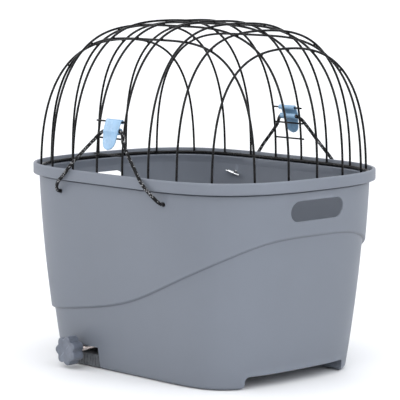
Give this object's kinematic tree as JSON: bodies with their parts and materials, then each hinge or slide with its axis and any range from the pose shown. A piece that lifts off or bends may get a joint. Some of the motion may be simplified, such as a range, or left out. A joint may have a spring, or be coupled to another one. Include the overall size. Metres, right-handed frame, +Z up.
{
  "type": "bicycle pet basket",
  "caption": "Open-topped moulded tub for a bicycle's rear rack, closed by a hinged wire grid dome that elastic cords and clip hooks hold down, with a screw clamp below.",
  "frame": {"origin": "centre of the flat underside of the tub's floor, where it rests on the rack", "axes": "+Z up, +X to the rear of the bicycle, -Y to the side of the clamp's knob"},
  "size_m": [0.461, 0.3688, 0.4741],
  "materials": {
    "shell_plastic": "fine moulded grain, blue grey",
    "coated_wire": "black powder coat, semi-gloss",
    "hook_plastic": "light blue, smooth",
    "elastic_cord": "black braid with grey flecks",
    "bar_steel": "bright plated",
    "knob_plastic": "slate grey, satin",
    "jaw_plastic": "dark grey, ribbed",
    "bush_plastic": "natural nylon",
    "zinc_steel": "zinc plated, warm"
  },
  "bodies": {
    "tub": {"basket_shell": "shell_plastic", "fixed_jaw": "jaw_plastic", "jaw_screw_1": "zinc_steel", "jaw_screw_2": "zinc_steel", "rod_bush": "bush_plastic", "elastic_cord_left": "elastic_cord", "elastic_cord_right": "elastic_cord", "cord_bar_left_front": "bar_steel", "cord_bar_left_rear": "bar_steel", "cord_bar_right_front": "bar_steel", "cord_bar_right_rear": "bar_steel"},
    "grid": {"grid_ring": "coated_wire", "cross_arch_1": "coated_wire", "cross_arch_2": "coated_wire", "cross_arch_3": "coated_wire", "cross_arch_4": "coated_wire", "cross_arch_5": "coated_wire", "cross_arch_6": "coated_wire", "cross_arch_7": "coated_wire", "cross_arch_8": "coated_wire", "long_arch_1": "coated_wire", "long_arch_2": "coated_wire", "long_arch_3": "coated_wire", "long_arch_4": "coated_wire", "long_arch_5": "coated_wire", "ladder_rung_left_1": "coated_wire", "ladder_rung_left_2": "coated_wire", "ladder_rung_left_3": "coated_wire", "ladder_rung_right_1": "coated_wire", "ladder_rung_right_2": "coated_wire", "ladder_rung_right_3": "coated_wire"},
    "hook_left": {"clip_hook_left": "hook_plastic"},
    "hook_right": {"clip_hook_right": "hook_plastic"},
    "knob": {"star_knob": "knob_plastic", "threaded_rod": "zinc_steel", "rod_collar_outer": "zinc_steel", "rod_collar_inner": "zinc_steel", "rod_end_cap": "jaw_plastic"},
    "jaw": {"sliding_jaw": "jaw_plastic", "jaw_nut": "zinc_steel"}
  },
  "joints": [
    {"name": "grid_tilt", "type": "hinge", "parent": "tub", "child": "grid", "pos_m": [0, 0.178, 0.2595], "axis": [-1, 0, 0], "range_deg": [0, 95], "deforming": ["elastic_cord_left", "elastic_cord_right"]},
    {"name": "hook_left_pivot", "type": "hinge", "parent": "grid", "child": "hook_left", "pos_m": [0.008, -0.16616, 0.328], "axis": [-1, 0, 0], "range_deg": [0, 100]},
    {"name": "hook_right_pivot", "type": "hinge", "parent": "grid", "child": "hook_right", "pos_m": [0, 0.16616, 0.328], "axis": [1, 0, 0], "range_deg": [0, 100]},
    {"name": "knob_spin", "type": "hinge", "parent": "tub", "child": "knob", "pos_m": [-0.093, -0.162, 0.0075], "axis": [0, 1, 0], "range_deg": [0, 5765]},
    {"name": "jaw_slide", "type": "slide", "parent": "tub", "child": "jaw", "axis": [0, -1, 0], "range_m": [0, 0.02]}
  ],
  "couplings": [
    {"joint": "knob_spin", "follows": "jaw_slide", "rad_per_m": 5026.5}
  ]
}
